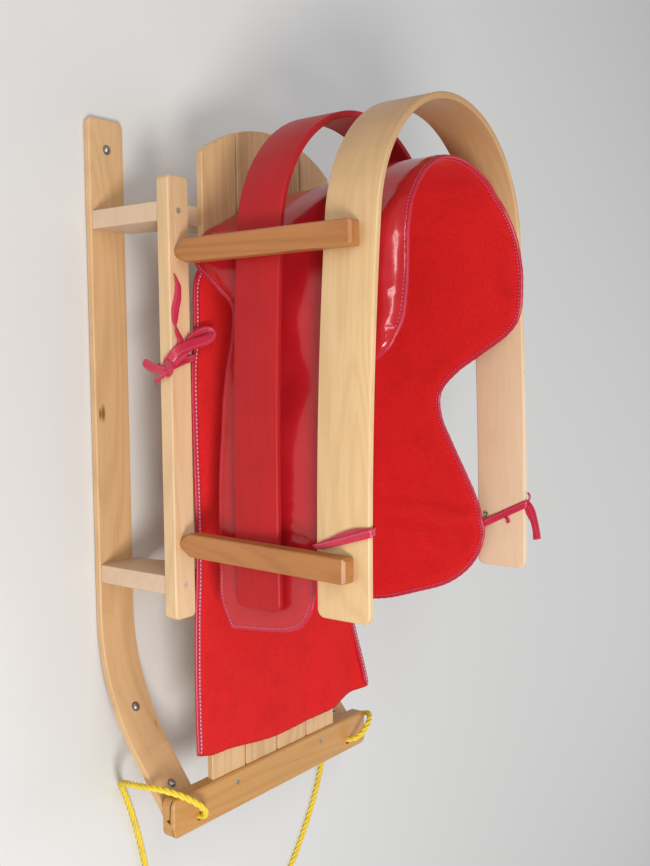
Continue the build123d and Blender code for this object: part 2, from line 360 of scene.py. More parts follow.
def sewing_thread(name, colour):
    material, tree, shader = new_material(name)
    ribs = noise_at(tree, 1300, detail=2)
    cloud = noise_at(tree, 60, detail=2)
    shade = blend(between(ribs, 0.35, 0.7), toned(colour, 0.66), colour)
    shade = stain(shade, cloud, 0.5, 0.8, 0.5, toned(colour, 1.3, 0.02))
    feed(shader, {"Base Color": shade, "Roughness": 0.6})
    raise_by(shader, ribs, 0.0003, 0.5)
    return material


def steel(name, colour, rough):
    material, tree, shader = new_material(name)
    spots = noise_at(tree, 400, detail=4)
    shade = stain(colour, spots, 0.5, 0.75, 0.6, toned(colour, 0.55))
    roughness = spread(spots, rough - 0.1, rough + 0.2)
    feed(shader, {"Base Color": shade, "Roughness": roughness, "Metallic": 1.0})
    raise_by(shader, spots, 0.0001, 0.3)
    return material


def poly_rope(name, colour):
    """Slick twisted fibres with a little dirt in the lay."""
    material, tree, shader = new_material(name)
    fibres = noise_at(tree, 700, detail=4, rough=0.7, distort=0.8)
    shade = stain(colour, fibres, 0.45, 0.75, 0.5, toned(colour, 0.6))
    shade = stain(shade, noise_at(tree, 45), 0.5, 0.75, 0.35, srgb(190, 150, 50))
    feed(shader, {"Base Color": shade, "Roughness": 0.42})
    raise_by(shader, fibres, 0.0003, 0.6)
    return material


# Woods, each as a light and a dark tone
HONEY = srgb(224, 188, 138), srgb(200, 156, 104)
RUNNER = srgb(222, 182, 134), srgb(198, 150, 100)
RAIL = srgb(224, 188, 144), srgb(202, 162, 112)
BOARD = srgb(218, 188, 158), srgb(196, 160, 124)
SLAT = srgb(212, 174, 126), srgb(182, 138, 90)
POST = srgb(182, 120, 66), srgb(148, 92, 46)
BAR = srgb(202, 150, 86), srgb(172, 118, 62)

FELT = felt("red_felt", srgb(226, 36, 38))
VINYL = vinyl("red_vinyl", srgb(186, 27, 35), 0.13)
BINDING = vinyl("binding", srgb(186, 30, 54), 0.34)
THREAD = sewing_thread("thread", srgb(250, 190, 200))
ROSE_THREAD = sewing_thread("rose_thread", srgb(232, 116, 138))
RIBBON = vinyl("ribbon", srgb(194, 42, 70), 0.28)
STEEL = steel("steel", srgb(176, 174, 168), 0.32)
PALE_STEEL = steel("pale_steel", srgb(226, 218, 204), 0.5)
YELLOW = poly_rope("yellow_rope", srgb(248, 220, 64))


def hoop_tone_and_painted_light(tree, colour):
    """Painted light and shade over the upper hoop's own tone: its bent rear is browner and darker,
    partly painted shade, and the left arm's rear paler and pinker, partly painted light.
    """
    parts = put(tree, "SeparateXYZ", {0: mapped(tree, 1000)}).outputs
    # darker and browner towards the bent rear: painted shade, with some browning of the bent wood
    colour = stain(colour, parts["X"], -270, -420, 0.75, srgb(176, 128, 82))
    # paler and pinker on the rear of the left arm: painted light, with some of the wood's own paler
    # tone
    left = times(between(parts["Y"], 40, 140), between(parts["X"], -300, -120))
    return blend(times(left, 0.55), colour, srgb(234, 216, 190))


def end_crack(tree):
    """The drying crack in the bar's right end: a step from the rear, a wedge in the middle and a
    hairline in front."""
    parts = put(tree, "SeparateXYZ", {0: mapped(tree, 1000)}).outputs
    x = maths("ADD", parts["X"], SLED_MIDDLE)
    z = maths("ADD", parts["Z"], times(noise_at(tree, 260), 1.4))

    def away(value, middle):
        return maths("ABSOLUTE", maths("SUBTRACT", value, middle))

    step = away(maths("ADD", z, times(x, 0.1)), 179.6)
    step = times(between(step, 1.0, 0.5), between(x, 494, 491))
    narrow = times(maths("SUBTRACT", z, 124.8), 0.55)
    wedge = maths("SUBTRACT", away(x, 494.5), narrow)
    wedge = times(between(wedge, 0.3, -0.3), between(z, 131.8, 131.0))
    hair = times(between(away(z, 135.2), 0.5, 0.2), between(x, 501, 504))
    whole = maths("MAXIMUM", maths("MAXIMUM", step, wedge), hair)
    return times(whole, between(parts["Y"], -188.5, -191.5))


RUNNER_KNOTS_AND_DENT = (  # on the right runner: place, radii; two knots, then a dent painted dark as its shade
    ((18, -177.4, 11), (12, 3.8, 6)),
    ((18.5, -182.2, 11), (9, 2.2, 6)),
    # a dent in the runner's top, drawn as a dark spot: painted shade, with no hollow
    ((409, -141.5, 50), (6.5, 1.7, 8)),
)
NODE_MATERIALS = {
    "hoop_upper": wood("hoop_wood", *HONEY, "xy", 1, 0.25, tones_and_light=hoop_tone_and_painted_light),
    "hoop_lower": paint("red_paint", srgb(184, 36, 40)),
    "front_bar": wood("bar_wood", *BAR, "y", 7, 0.25, flecks=0.2, crack=end_crack),
    "bolster_rear": wood("bolster_rear_wood", *BOARD, "y", 8, 0.15, flecks=0.22),
    "bolster_front": wood("bolster_front_wood", *BOARD, "y", 9, 0.15, flecks=0.22),
}
for number, (side, _) in enumerate(SIDES):
    marks = RUNNER_KNOTS_AND_DENT if side == "right" else ()
    runner = wood(f"runner_{side}_wood", *RUNNER, "xz", 11 + number, 0.3, spots=marks)
    rail = wood(f"rail_{side}_wood", *RAIL, "x", 14 + number, 0.3)
    NODE_MATERIALS |= {f"runner_{side}": runner, f"side_rail_{side}": rail}
    NODE_MATERIALS[f"runner_strip_{side}"] = STEEL
    for end in ("rear", "front"):
        post = f"post_{end}_{side}"
        seed = 20 + 3 * number + len(end)
        NODE_MATERIALS[post] = wood(post + "_wood", *POST, "z", seed, 0.35)
for number in range(1, 5):
    slat = f"slat_{number}"
    NODE_MATERIALS[slat] = wood(slat + "_wood", *SLAT, "x", 30 + 2 * number, 0.45)

ARRIS, STEEL_ARRIS = 0.0008, 0.0003

for node, material in NODE_MATERIALS.items():
    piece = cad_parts[node]
    piece.data.materials.clear()
    piece.data.materials.append(material)
    weld = piece.modifiers.new("weld", "WELD")
    weld.merge_threshold = 0.00001
    bevel = piece.modifiers.new("arris", "BEVEL")
    bevel.width = STEEL_ARRIS if material == STEEL else ARRIS
    bevel.segments = 2
    bevel.limit_method = "ANGLE"
    bevel.angle_limit = radians(40)
    bevel.harden_normals = True


# Pieces


def mesh_piece(name, vertices, faces, materials, slot, shades=None):
    """A smooth-shaded mesh that rides on the sled. shades gives each face's material."""
    mesh = bpy.data.meshes.new(name)
    mesh.from_pydata([tuple(v) for v in vertices], [], faces)
    for material in materials:
        mesh.materials.append(material)
    for k, face in enumerate(mesh.polygons):
        face.use_smooth = True
        face.material_index = shades[k] if shades else 0
    mesh.update()
    piece = added(name, mesh)
    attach(piece, "root")
    return piece


def tube_rings(rings, closed_ends=True):
    """Vertices and quads of a skin over rings of equal size, capped at both ends."""
    vertices = [v for ring in rings for v in ring]
    size = len(rings[0])
    faces = []
    for k in range(len(rings) - 1):
        for n in range(size):
            m = (n + 1) % size
            faces.append((k * size + n, k * size + m, (k + 1) * size + m, (k + 1) * size + n))
    if closed_ends:
        faces.append(tuple(range(size - 1, -1, -1)))
        faces.append(tuple((len(rings) - 1) * size + n for n in range(size)))
    return vertices, faces


def frames_along(points):
    """A tangent and two steady side directions at each point of a line."""
    last = len(points) - 1
    tangents = []
    for k in range(last + 1):
        tangents.append((points[min(k + 1, last)] - points[max(k - 1, 0)]).normalized())
    side = tangents[0].orthogonal().normalized()
    result = []
    for tangent in tangents:
        side = (side - tangent * side.dot(tangent)).normalized()
        result.append((tangent, side, tangent.cross(side)))
    return result


def joined(parts):
    """One list of vertices and faces from several."""
    vertices, faces = [], []
    for more_vertices, more_faces in parts:
        start = len(vertices)
        vertices += more_vertices
        faces += [tuple(start + n for n in face) for face in more_faces]
    return vertices, faces


# Tow rope: three strands laid round the route's NURBS line

ROPE_DIAMETER = 8.0
ROPE_LAY = 27.0  # length of a full turn of a strand
STRAND_OUT, STRAND_RADIUS = 0.25, 0.265  # shares of the rope's diameter
KNOT_AHEAD, KNOT_BELOW = 4.5, 7.4  # from the hole in the bar
KNOT_LOOP, KNOT_HIGH, KNOT_THICK = 1.5, 2.2, 3.1
HOLE_X, HOLE_Y, BAR_LOW = 501.5, 151.0, 116.6
ROPE_ROUTE = [
    (HOLE_X, -HOLE_Y, BAR_LOW), (HOLE_X, -HOLE_Y, 143), (484, -163, 160), (469, -176, 149),
    (458, -193, 122), (460, -200, 84), (469, -191, 46), (486, -169, 14), (518, -147, 4),
    (582, -127, 4), (655, -113, 4), (745, -92, 4), (822, -20, 4), (819, 88, 4), (752, 172, 4),
    (668, 232, 4), (602, 262, 4), (566, 256, 8), (532, 241, 31), (499, 220, 80),
    (475, 206, 132), (470, 182, 155), (484, 163, 160), (HOLE_X, HOLE_Y, 143),
    (HOLE_X, HOLE_Y, BAR_LOW),
]


def nurbs_line(route):
    """Points read from a NURBS spline whose control points are the route's."""
    curve = bpy.data.curves.new("line", "CURVE")
    curve.dimensions = "3D"
    spline = curve.splines.new("NURBS")
    spline.points.add(len(route) - 1)
    for point, place in zip(spline.points, route):
        point.co = (*at(*place), 1)
    spline.order_u = 3
    spline.use_endpoint_u = True
    spline.resolution_u = 16
    holder = bpy.data.objects.new("line", curve)
    mesh = bpy.data.meshes.new_from_object(holder)
    line = [v.co.copy() for v in mesh.vertices]
    bpy.data.objects.remove(holder)
    return line


def make_rope():
    line = nurbs_line(ROPE_ROUTE)
    spaced = evenly(line, 0.0016)
    offset = ROPE_DIAMETER * STRAND_OUT / 1000
    strand = ROPE_DIAMETER * STRAND_RADIUS / 1000
    axes = frames_along(spaced)
    length = lengths_along(spaced)[-1]
    step = length / (len(spaced) - 1)
    parts = []
    for index in range(3):
        rings = []
        for k, (point, (_, side, other)) in enumerate(zip(spaced, axes)):
            turn = 2 * pi * (k * step * 1000 / ROPE_LAY + index / 3)
            outward = side * cos(turn) + other * sin(turn)
            around = -side * sin(turn) + other * cos(turn)
            rings.append(circle(point + outward * offset, outward, around, strand, 8))
        parts.append(tube_rings(rings))
    rope = mesh_piece("tow_rope_strands", *joined(parts), [YELLOW], slot="rope")
    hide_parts("tow_rope")
    return rope, line, length


def make_knot(name, side):
    """A pulled-tight overhand knot under the bar."""
    centre = Vector((HOLE_X + KNOT_AHEAD, side * HOLE_Y, BAR_LOW - KNOT_BELOW))
    points = []
    for t in turns(60):
        x = sin(t) + 2 * sin(2 * t)
        y = cos(t) - 2 * cos(2 * t)
        z = -sin(3 * t)
        points.append(centre + Vector((x * KNOT_LOOP, y * KNOT_LOOP, z * KNOT_HIGH)))
    places = [at(*p) for p in points] + [at(*points[0])]
    rings = []
    for point, (_, a, b) in zip(places, frames_along(places)):
        rings.append(circle(point, a, b, KNOT_THICK / 1000, 12))
    return mesh_piece(name, *tube_rings(rings), [YELLOW], slot="rope")


rope, rope_line, rope_length = make_rope()
for name, side in SIDES:
    knot = make_knot(f"rope_knot_turns_{name}", side)
    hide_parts(f"rope_knot_{name}")


# Cloth: a flat outline, meshed, laid on a curved place in two skins, and bound along its edge

OUTLINE_STEP = 3.6
CROWN = 6.0  # from the seam of a cloth's edge in to the top of its padding
EDGE_SHARE, SEAM_SHARE = 0.5, 0.7  # of a cloth's full half thickness
CROWN_RISE, CROWN_FALL, CROWN_REACH = 0.62, 0.32, 36


def turned_way(outline):
    """1 where an outline runs anticlockwise, and -1 where clockwise."""
    area = sum(a.x * b.y - b.x * a.y for a, b in zip(outline, outline[1:] + outline[:1]))
    return 1 if area > 0 else -1


def near_tree(points):
    tree = KDTree(len(points))
    for k, p in enumerate(points):
        tree.insert(p, k)
    tree.balance()
    return tree


def patch(outline, spacing, seam):
    """Triangles inside a closed 2-D outline, with rows of points along its seam. It also gives the
    index of each outline point."""
    ring = len(outline)
    tree = near_tree(outline)
    way = turned_way(outline)
    points = [Vector((p.x, p.y)) for p in outline]
    for inset, stride in ((seam, 1), (seam + CROWN, 2)):
        for k in range(0, ring, stride):
            run = outline[(k + 1) % ring] - outline[k - 1]
            inwards = Vector((-run.y, run.x)).normalized() * way
            p = points[k] + inwards * inset
            if tree.find((p.x, p.y, 0))[2] > inset * 0.93:
                points.append(p)
    xs = [p.x for p in outline]
    ys = [p.y for p in outline]
    rows = int((max(ys) - min(ys)) / spacing) + 1
    columns = int((max(xs) - min(xs)) / spacing) + 1
    for row in range(rows + 1):
        for column in range(columns + 1):
            x = min(xs) + (column + 0.5 * (row % 2)) * spacing
            y = min(ys) + row * spacing
            if tree.find((x, y, 0))[2] > seam + CROWN + spacing * 0.6:
                points.append(Vector((x, y)))
    edges = [(k, (k + 1) % ring) for k in range(ring)]
    places, _, faces, origins, _, _ = delaunay_2d_cdt(points, edges, [], 1, 1e-6)
    used = sorted({n for face in faces for n in face})
    index = {n: k for k, n in enumerate(used)}
    rim = [0] * ring
    for n in used:
        for origin in origins[n]:
            if origin < ring:
                rim[origin] = index[n]
    return [places[n] for n in used], [tuple(index[n] for n in face) for face in faces], rim


def padding(distance, raw, seam):
    """The padding's share of its full thickness, by the distance from the cloth's edge."""
    if raw:
        return SEAM_SHARE + (1 - SEAM_SHARE) * smooth(distance, 0, 3)
    if distance < seam:
        return EDGE_SHARE + (SEAM_SHARE - EDGE_SHARE) * distance / seam
    rise = CROWN_RISE * smooth(distance, seam, seam + CROWN)
    return SEAM_SHARE + rise - CROWN_FALL * smooth(distance, seam + CROWN, CROWN_REACH)


def cloth(name, outline, spacing, place, half, seam, materials, slot, raw=lambda p: False):
    """Two skins either side of place(a, b, height), top first, joined round the edge. raw says
    where the edge is cut."""
    flat, faces, rim = patch(outline, spacing, seam)
    count = len(flat)
    tree = near_tree(outline)
    shares = []
    for p in flat:
        _, nearest, distance = tree.find((p.x, p.y, 0))
        shares.append(padding(distance, raw(outline[nearest]), seam))
    vertices = []
    for skin in (half, -half):
        vertices += [place(p.x, p.y, skin * share) for p, share in zip(flat, shares)]
    skins = faces + [tuple(n + count for n in reversed(face)) for face in faces]
    shades = [0] * len(faces) + [1] * len(faces)
    way = turned_way(outline)
    for k in range(len(rim)):
        a, b = rim[k], rim[(k + 1) % len(rim)]
        if a != b:
            skins.append((b, a, a + count, b + count)[::way])
            shades.append(0 if raw(outline[k]) else 1)
    return mesh_piece(name, vertices, skins, materials, slot, shades)


def edge_frames(outline, place):
    """For each point of a closed outline: its place, the cloth's normal and the way inwards."""
    middle = [place(p.x, p.y, 0) for p in outline]
    upper = [place(p.x, p.y, 1) for p in outline]
    count = len(outline)
    way = turned_way(outline)
    result = []
    for k in range(count):
        run = (middle[(k + 1) % count] - middle[k - 1]).normalized()
        normal = (upper[k] - middle[k]).normalized()
        result.append((middle[k], normal, normal.cross(run).normalized() * way))
    return result


def stretches(frames, outline, keep):
    """The runs of neighbouring frames whose outline points are kept, and whether it is the whole
    ring."""
    kept = [keep(p) for p in outline]
    count = len(frames)
    if all(kept):
        return [frames + frames[:1]], True
    start = next(k for k in range(count) if not kept[k])
    runs, run = [], []
    for n in range(1, count + 1):
        k = (start + n) % count
        if kept[k]:
            run.append(frames[k])
        elif run:
            runs.append(run)
            run = []
    return [run for run in runs if len(run) > 3], False


def everywhere(p):
    return True


def binding(
    name, outline, place, half, width, slot, thread, sewing, taped=everywhere, stitched=everywhere
):
    """Tape folded over the cloth's edge, and stitches on each face. sewing is a stitch's length,
    the gap to the next, its half width and the row's inset from the edge."""
    frames = edge_frames(outline, place)
    seam, edge = half * SEAM_SHARE, half * EDGE_SHARE
    *stitch, inset = sewing
    section = [
        (seam - 0.3, width + 0.6),
        (seam + 0.35, width),
        (seam + 0.55, width * 0.6),
        (edge + 0.6, 0.8),
        (edge * 0.8, -0.7),
        (0, -1.1),
    ]
    section += [(-h, w) for h, w in reversed(section[:-1])]
    parts = []
    runs, whole = stretches(frames, outline, taped)
    for run in runs:
        rings = []
        for k, (point, normal, inward) in enumerate(run):
            pucker = 0.22 * sin(k * 2.1) / 1000
            rings.append(
                [point + normal * (h / 1000) + inward * (w / 1000 + pucker) for h, w in section]
            )
        parts.append(tube_rings(rings, closed_ends=not whole))
    mesh_piece(name, *joined(parts), [BINDING], slot=slot)
    parts = []
    runs, _ = stretches(frames, outline, stitched)
    for run in runs:
        for face in (1, -1):
            lift = face * (seam + 0.42) / 1000
            row = [point + normal * lift + inward * inset / 1000 for point, normal, inward in run]
            parts += stitch_row(row, [normal * face for _, normal, _ in run], *stitch)
    mesh_piece(name + "_stitches", *joined(parts), [thread], slot=slot)


def stitch_row(line, normals, length, gap, thick):
    """Small raised stitches along a line."""
    spots = evenly(line, (length + gap) / 1000)
    tree = near_tree(line)
    parts = []
    for a, b in zip(spots, spots[1:]):
        tangent = (b - a).normalized()
        normal = normals[tree.find(a)[1]]
        side = normal.cross(tangent).normalized() * thick / 1000
        end = a + tangent * length / 1000
        rise = normal * thick / 1000
        vertices = [a - side, a + side, end + side, end - side]
        for share, first in ((0.2, -0.6), (0.8, 0.6)):
            top = a.lerp(end, share)
            vertices += [top + side * first + rise, top - side * first + rise]
        faces = [(4, 5, 6, 7), (0, 1, 5, 4), (1, 2, 6, 5), (2, 3, 7, 6), (3, 0, 4, 7)]
        parts.append((vertices, faces))
    return parts


def wobble(point, size, seed=0.0):
    """Smooth noise from -1 to 1 at a place in millimetres."""
    return noise.noise(Vector(point) / size + Vector((seed, seed, seed)))


# Seat pad: felt on top, vinyl below, bound on all but its front edge, with its left front corner
# curled up

PAD_LOW, PAD_HALF, PAD_SEAM, PAD_SPACING = 132.4, 3.0, 7.4, 7
PAD_SEWING = (2.8, 2.0, 0.66, 4.0)
PAD_OUTLINE = [
    # right edge, rear to front
    (-158, -120), (-149, -136), (-130, -143.5), (-92, -144.5), (-63, -146), (-30, -150),
    (60, -150), (142, -148.5), (200, -148.5), (262, -152), (350, -154), (419, -154.5),
    # front edge
    (425.5, -153.5), (428, -146), (432.5, -126), (434, -99), (438, -70), (443, -34),
    (444.5, -2), (442, 50), (438, 97), (431.5, 113), (427, 127), (424.3, 141), (422.4, 151),
    (420.5, 157),
    # left edge and rear
    (415, 158.8), (402, 158.3), (330, 157), (60, 152), (-100, 147), (-146, 140), (-158, 122),
    (-160, 0),
]


def pad_place(x, y, height):
    """The pad's middle surface, curled at its left front corner, a little uneven elsewhere."""
    curl = smooth(x, 262, 446) ** 1.2 * (0.42 * smooth(y, 40, 120) + 0.52 * smooth(y, 136, 160))
    ripple = wobble((x, y, 0), 90) * 0.5 + 0.5
    front = smooth(x, 330, 440)
    near_edge = bump(y, -150, 40) * smooth(x, -60, 60)
    z = PAD_LOW + PAD_HALF + 0.3 + ripple * 0.9 + 36 * curl
    z += front * (0.8 + 1.0 * sin(y / 34.0)) * (1 - curl) + near_edge * 0.8
    return at(x - 6 * curl, y - 1.5 * curl, z + height)


def pad_front(p):
    """Its front edge, which is cut and not bound."""
    return p.x > 419.5 and -152.5 < p.y < 155


def pad_bound(p):
    return not pad_front(p)


def make_pad():
    outline = through([(x, y, 0) for x, y in PAD_OUTLINE], OUTLINE_STEP, closed=True)
    # the cut front edge is a little ragged
    outline = [p + Vector((0.7 * wobble(p, 5), 0, 0)) if pad_front(p) else p for p in outline]
    form = pad_place, PAD_HALF, PAD_SEAM
    pad = cloth("pad_cloth", outline, PAD_SPACING, *form, [FELT, VINYL], "felt", pad_front)
    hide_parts("seat_pad")
    binding("pad_binding", outline, *form, "felt", THREAD, PAD_SEWING, pad_bound, pad_bound)


make_pad()


# Seat wall: a padded band bent round the back, felt inside and vinyl outside

WALL_CENTRE, WALL_RADIUS, WALL_FLARE = -142.5, 123.0, 10.0
WALL_FRONT, WALL_HALF_WIDTH = 305.0, 154.5
WALL_HALF, WALL_SEAM, WALL_SPACING = 2.7, 4.4, 6
WALL_SEWING = (2.2, 2.1, 0.55, 3.5)


def wall_path():
    """The band's plan from its rear middle to the front of one side: (x, distance out) points."""
    last = radians(90 - WALL_FLARE)
    points = []
    for n in range(41):
        a = last * n / 40
        points.append(Vector((WALL_CENTRE - WALL_RADIUS * cos(a), WALL_RADIUS * sin(a))))
    start = points[-1]
    heading = Vector((sin(last), cos(last)))
    chord = Vector((WALL_FRONT, WALL_HALF_WIDTH)) - start
    bow = atan2(heading.x * chord.y - heading.y * chord.x, heading.dot(chord))
    radius = chord.length / (2 * sin(bow))
    for n in range(1, 61):
        a = bow * n / 60
        turned = Matrix.Rotation(a, 2) @ heading
        points.append(start + turned * (2 * radius * sin(a)))
    return points


WALL_PLAN = wall_path()
WALL_ALONG = lengths_along(WALL_PLAN)


def wall_plan(s):
    """Place and outward direction on the band's plan; s is negative on the right side."""
    d = abs(s)
    k = span_of(WALL_ALONG, d)
    share = (d - WALL_ALONG[k]) / (WALL_ALONG[k + 1] - WALL_ALONG[k])
    point = WALL_PLAN[k].lerp(WALL_PLAN[k + 1], share)
    run = WALL_PLAN[k + 1] - WALL_PLAN[k]
    out = Vector((-run.y, run.x)).normalized()
    side = -1 if s < 0 else 1
    return Vector((point.x, side * point.y)), Vector((out.x, side * out.y))


# How far the foot is drawn in under the rim: the share by height, then forward and outward by
# distance round
WALL_DRAWN = [(60, 1.1), (133, 1.0), (188, 0.6), (237, 0.5), (300, 0.17), (346, 0.0), (440, 0.0)]
WALL_FORWARD = [
    (-98, 18), (0, 35), (98, 18), (142, -3), (185, -18), (225, -8), (270, 0), (320, 0), (600, 0),
]
WALL_OUTWARD = [
    (-98, 2), (0, 0), (98, 2), (142, 8), (185, 19), (225, 12), (270, 4), (320, 0), (600, 0),
]

# (distance round, negative on the right; height)
WALL_OUTLINE = [
    # right rim
    (0, 404.5), (-40, 406.5), (-84, 409), (-128, 411.5), (-176, 415), (-225, 418.2),
    (-250, 417.5), (-268, 411), (-284, 401), (-309, 366), (-328, 340), (-352, 331), (-390, 330),
    (-430, 334), (-457, 337), (-478, 333), (-492, 326), (-506, 321), (-534, 320),
    # right front end
    (-554.5, 317.2), (-569.5, 311.2), (-581.5, 300.2), (-589.5, 281.7), (-593.5, 254.1),
    (-595.5, 230.1), (-598.3, 203.5), (-598.6, 200.8), (-596, 197.6), (-586.5, 193.2),
    (-572.5, 186.3), (-556, 182.6),
    # right hem
    (-534, 182.6), (-492, 181.6), (-457, 180.4), (-412, 179.5), (-373, 180.1), (-338, 180.2),
    (-302, 183.1), (-275.5, 187.6), (-259, 190.9), (-245, 192), (-235.8, 190.3),
    # foot
    (-227.8, 184.2), (-217.3, 169), (-208, 156.2), (-202, 146.1), (-196.5, 140), (-188, 135.8),
    (-150, 134.2), (-75, 134), (0, 134), (75, 134), (150, 134.2), (188, 135.8), (202, 146.1),
    (217.3, 169), (227.8, 184.2),
    # left hem
    (240, 190.5), (262, 190), (302, 184), (338, 181), (397, 178), (497, 172), (577, 161),
    (610, 157.5), (622, 159),
    # left front end and wing
    (627, 168), (621.6, 205), (607.6, 250), (590.6, 297), (566.6, 330), (538.6, 349),
    (511.6, 353.5), (477.6, 345), (443.5, 330),
    # left rim
    (401.5, 310), (367.3, 296.5), (335.2, 298), (309, 324), (286.9, 360), (262.7, 398),
    (238.4, 416.5), (196, 422.5), (170, 421.3), (140, 418.5), (110, 413), (82, 409.5),
    (50, 407.5),
]


def wall_folds(s, z):
    """How far the folds and the slack of a tied-in cloth push the wall outwards."""
    push = 2.2 * wobble((s, z * 0.5, 0), 110, 3.0) + 0.9 * wobble((s, z, 0), 34, 9.0)
    push += 1.6 * smooth(z, 360, 392) * bump(s, -185, 120)
    back_rim = smooth(z, 385, 405) * (1 - smooth(abs(s), 120, 190))
    push += 1.2 * wobble((s, z * 0.6, 0), 17, 5.0) * back_rim
    # below the left tie: two grooves and the ridge between them
    fold = s - 497 + (345 - z) * 0.06
    reach = smooth(z, 175, 235) * (1 - 0.5 * smooth(z, 320, 352))
    push += reach * (2.8 * bump(fold, -14, 13) - 2.4 * bump(fold, 2, 12) + 3.0 * bump(fold, 17, 13))
    # slanting creases behind the seat's left side
    slant = s - 84 - (400 - z) * 0.17
    push += 1.7 * bump(slant, 0, 13) * smooth(z, 170, 240) * (1 - smooth(z, 385, 405))
    slant = s - 112 - (400 - z) * 0.1
    push -= 1.2 * bump(slant, 0, 16) * smooth(z, 190, 260) * (1 - smooth(z, 380, 402))
    # small gathers that run down from the dip on the right
    below = 425 - (abs(s) - 255) * 1.15 - z
    gather = bump(s, -286, 42) * smooth(below, 3, 10) * (1 - smooth(below, 14, 52))
    push += 1.7 * gather * sin(2 * pi * (-s * 0.675 - z * 0.737) / 10.5) * (s < 0)
    # soft pleats under the hoop, and the fullness behind the rear post
    pleats = bump(s, -462, 75) * smooth(z, 255, 285) * (1 - smooth(z, 306, 322))
    push += 1.1 * pleats * sin(2 * pi * (s + 0.15 * z) / 15)
    push += 5.0 * bump(s, -255, 55) * bump(z, 262, 60) - 3.0 * bump(s, -320, 40) * bump(z, 270, 60)
    push += 3.0 * bump(s, -395, 60) * bump(z, 250, 60)
    return push


def wall_place(s, z, height):
    """The wall's middle surface; height is inwards."""
    point, out = wall_plan(s)
    side = -1 if s < 0 else 1
    height += 9.0 * smooth(z, 383, 424) ** 1.4 * bump(s, -185, 125)
    if height < 0 and s < 0:
        # the vinyl rolls out below the right rim
        below = 404.5 + min(-s, 240) * 0.057 - z
        roll = min(max(below - 5.5, 0), 13) * 0.56 * (1 - smooth(below, 24, 55))
        roll *= smooth(s, -318, -268) * (1 - smooth(s, -165, -105))
        height -= roll * (1 + 0.16 * wobble((s, z * 0.4, 0), 11, 7.0))
    drawn = table_value(WALL_DRAWN, z)
    x = point.x + table_value(WALL_FORWARD, abs(s)) * drawn
    y = point.y + side * table_value(WALL_OUTWARD, abs(s)) * drawn
    push = wall_folds(s, z) - height
    return at(x + out.x * push, y + out.y * push, z)


def wall_stitched(p):
    """The foot and the middle of each hem show no stitches."""
    hem = p.y < 195 and (-529 < p.x < -229 or 229 < p.x < 570)
    return p.y > 139 and not hem


def make_wall():
    outline = through([(s, z, 0) for s, z in WALL_OUTLINE], OUTLINE_STEP, closed=True)
    form = wall_place, WALL_HALF, WALL_SEAM
    wall = cloth("wall_cloth", outline, WALL_SPACING, *form, [FELT, VINYL], "vinyl")
    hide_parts("seat_wall")
    sewing = ROSE_THREAD, WALL_SEWING
    binding("wall_binding", outline, *form, "vinyl", *sewing, stitched=wall_stitched)


make_wall()


# Ties: flat straps of folded vinyl, stitched beside one edge

STRAP_THICK, STRAP_STEP = 0.6, 2.0
STRAP_SEWING = (1.7, 1.5, 0.42)  # a stitch's length, the gap to the next and its half width
STRAP_SECTION = [  # (share of the half width, share of the thickness)
    (-1, 0.3), (-0.8, 1), (-0.3, 0.7), (0.3, 0.7), (0.8, 1),
    (1, 0.3), (1, -0.3), (0.8, -1), (-0.8, -1), (-1, -0.3),
]


def strap(name, rows, width, seam_at):
    """A flat strap through rows of (x, y, z, direction of its flat side, share of the width).
    seam_at is where its stitches run, as a share of its half width."""
    line = through([row[:3] for row in rows], STRAP_STEP)
    count = len(line)
    nodes = [Vector(row[:3]) for row in rows]
    marks = [min(range(count), key=lambda n: (line[n] - node).length) for node in nodes]
    for k in range(1, len(marks)):
        marks[k] = max(marks[k], marks[k - 1] + 1)
    rings, seam, normals = [], [], []
    for k, point in enumerate(line):
        part = span_of(marks, k)
        share = smooth(k, marks[part], marks[part + 1])
        (*_, aim, wide), (*_, next_aim, next_wide) = rows[part : part + 2]
        aim = Vector(aim).lerp(Vector(next_aim), share)
        half = (wide + (next_wide - wide) * share) * width / 2
        tangent = (line[min(k + 1, count - 1)] - line[max(k - 1, 0)]).normalized()
        normal = (aim - tangent * aim.dot(tangent)).normalized()
        side = tangent.cross(normal)
        ring = [side * (w * half) + normal * (h * STRAP_THICK) for w, h in STRAP_SECTION]
        rings.append([at(*(point + away)) for away in ring])
        seam.append(at(*(point + side * (half * seam_at) + normal * (STRAP_THICK * 0.9))))
        normals.append(normal)
    mesh_piece(name, *tube_rings(rings), [RIBBON], slot="vinyl")
    stitches = joined(stitch_row(seam[2:-2], normals[2:-2], *STRAP_SEWING))
    mesh_piece(name + "_stitches", *stitches, [ROSE_THREAD], slot="vinyl")


OUT, IN, UP = (0, -1, 0), (0, 1, 0), (0, 0, 1)
FACING = (0, -0.7, 0.7)

